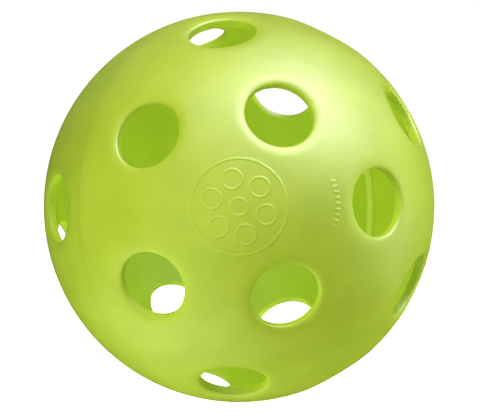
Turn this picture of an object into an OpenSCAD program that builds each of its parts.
// Indoor pickleball ball. Two injection-moulded half shells with round air holes, 13 in the marked
// half and 11 in the plain one, lap over each other at the middle of the ball and are welded there.
// The melt squeezed inwards stays as a low bead.
// Millimetres. The origin is the ball's centre, +X is the pole of the marked half, and the lapped
// weld lies about the plane X = 0. Azimuths run about +X from +Y towards +Z.

/* [Ball] */
// Outside diameter of the ball
ball_d = 74; // [73:0.1:75.5]
// Thickness of the moulded wall
wall_t = 2; // [1.8:0.1:2.4]

/* [Air holes] */
// Diameter of each air hole at its straight wall
hole_d = 12.3; // [11:0.1:13]
// Radius of the rounding on each hole's outer rim
rim_r = 0.9; // [0.5:0.1:1]
// Radius of the rounding on each hole's inner rim
inner_rim_r = 0.25; // [0.2:0.05:0.4]
// Angle from the pole to the ring of four holes
ring4_polar = 38.2; // [37:0.1:40]
// Azimuth of the first hole in the ring of four
ring4_start = 45; // [0:0.1:90]
// Angle from the marked half's pole to its ring of eight holes
ring8_polar = 71.8; // [70:0.1:72]
// Angle from the plain half's pole to its ring of holes next to the weld
plain_ring8_polar = 70.2; // [69:0.1:72]
// Azimuth of the first hole in the ring of eight
ring8_start = 22.5; // [0:0.1:45]
// Places in the plain half's ring of eight that its mould leaves solid
plain_gaps = [0, 2]; // [0:1:7]
// Turn of the plain half about the poles when the two were welded
weld_turn = 66.2; // [0:0.1:90]

/* [Lapped weld] */
// How far the marked half's outer lip laps past the middle plane
outer_lap = 2.2; // [1:0.1:2.5]
// How far the plain half's inner lip laps past the middle plane, the other way
inner_lap = 2.4; // [1:0.1:2.6]

/* [Weld bead] */
// Radius of the bead's roll
roll_r = 1.3; // [1.2:0.05:1.4]
// Distance from the inner lip's edge back to the middle of the roll
roll_offset = 1.05; // [1:0.05:1.2]
// Depth of the roll's middle behind the inner face of the wall
roll_sink = 0.75; // [0.6:0.05:0.9]

/* [Hidden] */
$fn = 120;
outer_r = ball_d / 2;
inner_r = outer_r - wall_t;
// The two lips meet halfway through the wall
lap_r = outer_r - wall_t / 2;
hole_r = hole_d / 2;
// How far past the wall a cutter runs on each side
past = 3;
// The roundings stand this far out of the wall's faces, so that they cross them cleanly
lift = 0.02;
// Where the outer rounding leaves the straight wall, along the hole's axis
rim_z = sqrt(pow(outer_r, 2) - pow(hole_r + rim_r, 2)) - rim_r + lift;
// Where the inner rounding leaves the straight wall
inner_rim_z = sqrt(pow(inner_r, 2) - pow(hole_r + inner_rim_r, 2)) + inner_rim_r - lift;

// Polar angle and azimuth of every hole in one half: the pole's, a ring of four, and a ring of
// eight without the places in gaps
function half_holes(ring8, gaps) = concat(
    [[0, 0]],
    [for (i = [0 : 3]) [ring4_polar, ring4_start + 90 * i]],
    [for (i = [0 : 7]) if (len(search(i, gaps)) == 0) [ring8, ring8_start + 45 * i]]
);

// Half outline of what leaves one hole: a straight bore that flares round both rims of the wall
module hole_profile() {
    difference() {
        union() {
            translate([0, inner_r - past]) square([hole_r, wall_t + 2 * past]);
            translate([0, rim_z]) square([hole_r + rim_r, past]);
            translate([0, inner_rim_z - past]) square([hole_r + inner_rim_r, past]);
        }
        translate([hole_r + rim_r, rim_z]) circle(rim_r);
        translate([hole_r + inner_rim_r, inner_rim_z]) circle(inner_rim_r);
    }
}

// What leaves one hole, aimed from the ball's centre
module hole_cutter(polar, azimuth) {
    rotate([azimuth, 0, 0])
        rotate([0, 0, polar])
            rotate([0, 90, 0])
                rotate_extrude() hole_profile();
}

// Half outline of one layer of the wall, from its edge up to the pole
module layer_profile(outside, inside, edge) {
    intersection() {
        difference() {
            circle(outside, $fn = 600);
            circle(inside, $fn = 600);
        }
        translate([0, edge]) square([ball_d, ball_d]);
    }
}

// One moulded half with its pole on +X; the edges are where its two layers stop along X
module half_shell(outer_edge, inner_edge, holes) {
    difference() {
        rotate([0, 90, 0])
            rotate_extrude($fn = 300)
                union() {
                    layer_profile(outer_r, lap_r, outer_edge);
                    layer_profile(lap_r, inner_r, inner_edge);
                }
        for (hole = holes) hole_cutter(hole[0], hole[1]);
    }
}

// The half whose outside carries the moulded emblem; its outer layer is the lip
module marked_half_shell() {
    color([0.73, 0.84, 0.24]) half_shell(-outer_lap, inner_lap, half_holes(ring8_polar, []));
}

// The half without an emblem, turned over to face the marked half and turned about the poles
module plain_half_shell() {
    color([0.68, 0.80, 0.20])
        rotate([weld_turn, 0, 0])
            rotate([0, 0, 180])
                half_shell(outer_lap, -inner_lap, half_holes(plain_ring8_polar, plain_gaps));
}

// Half outline of the bead: a roll beside the inner lip's edge, cut off at the wall
module bead_profile() {
    intersection() {
        circle(inner_r, $fn = 600);
        translate([inner_r + roll_sink, inner_lap - roll_offset]) circle(roll_r, $fn = 180);
    }
}

// The melt squeezed inwards by the weld, which runs round the inside
module weld_bead() {
    color([0.62, 0.76, 0.20])
        rotate([0, 90, 0])
            rotate_extrude($fn = 300) bead_profile();
}

marked_half_shell();
plain_half_shell();
weld_bead();
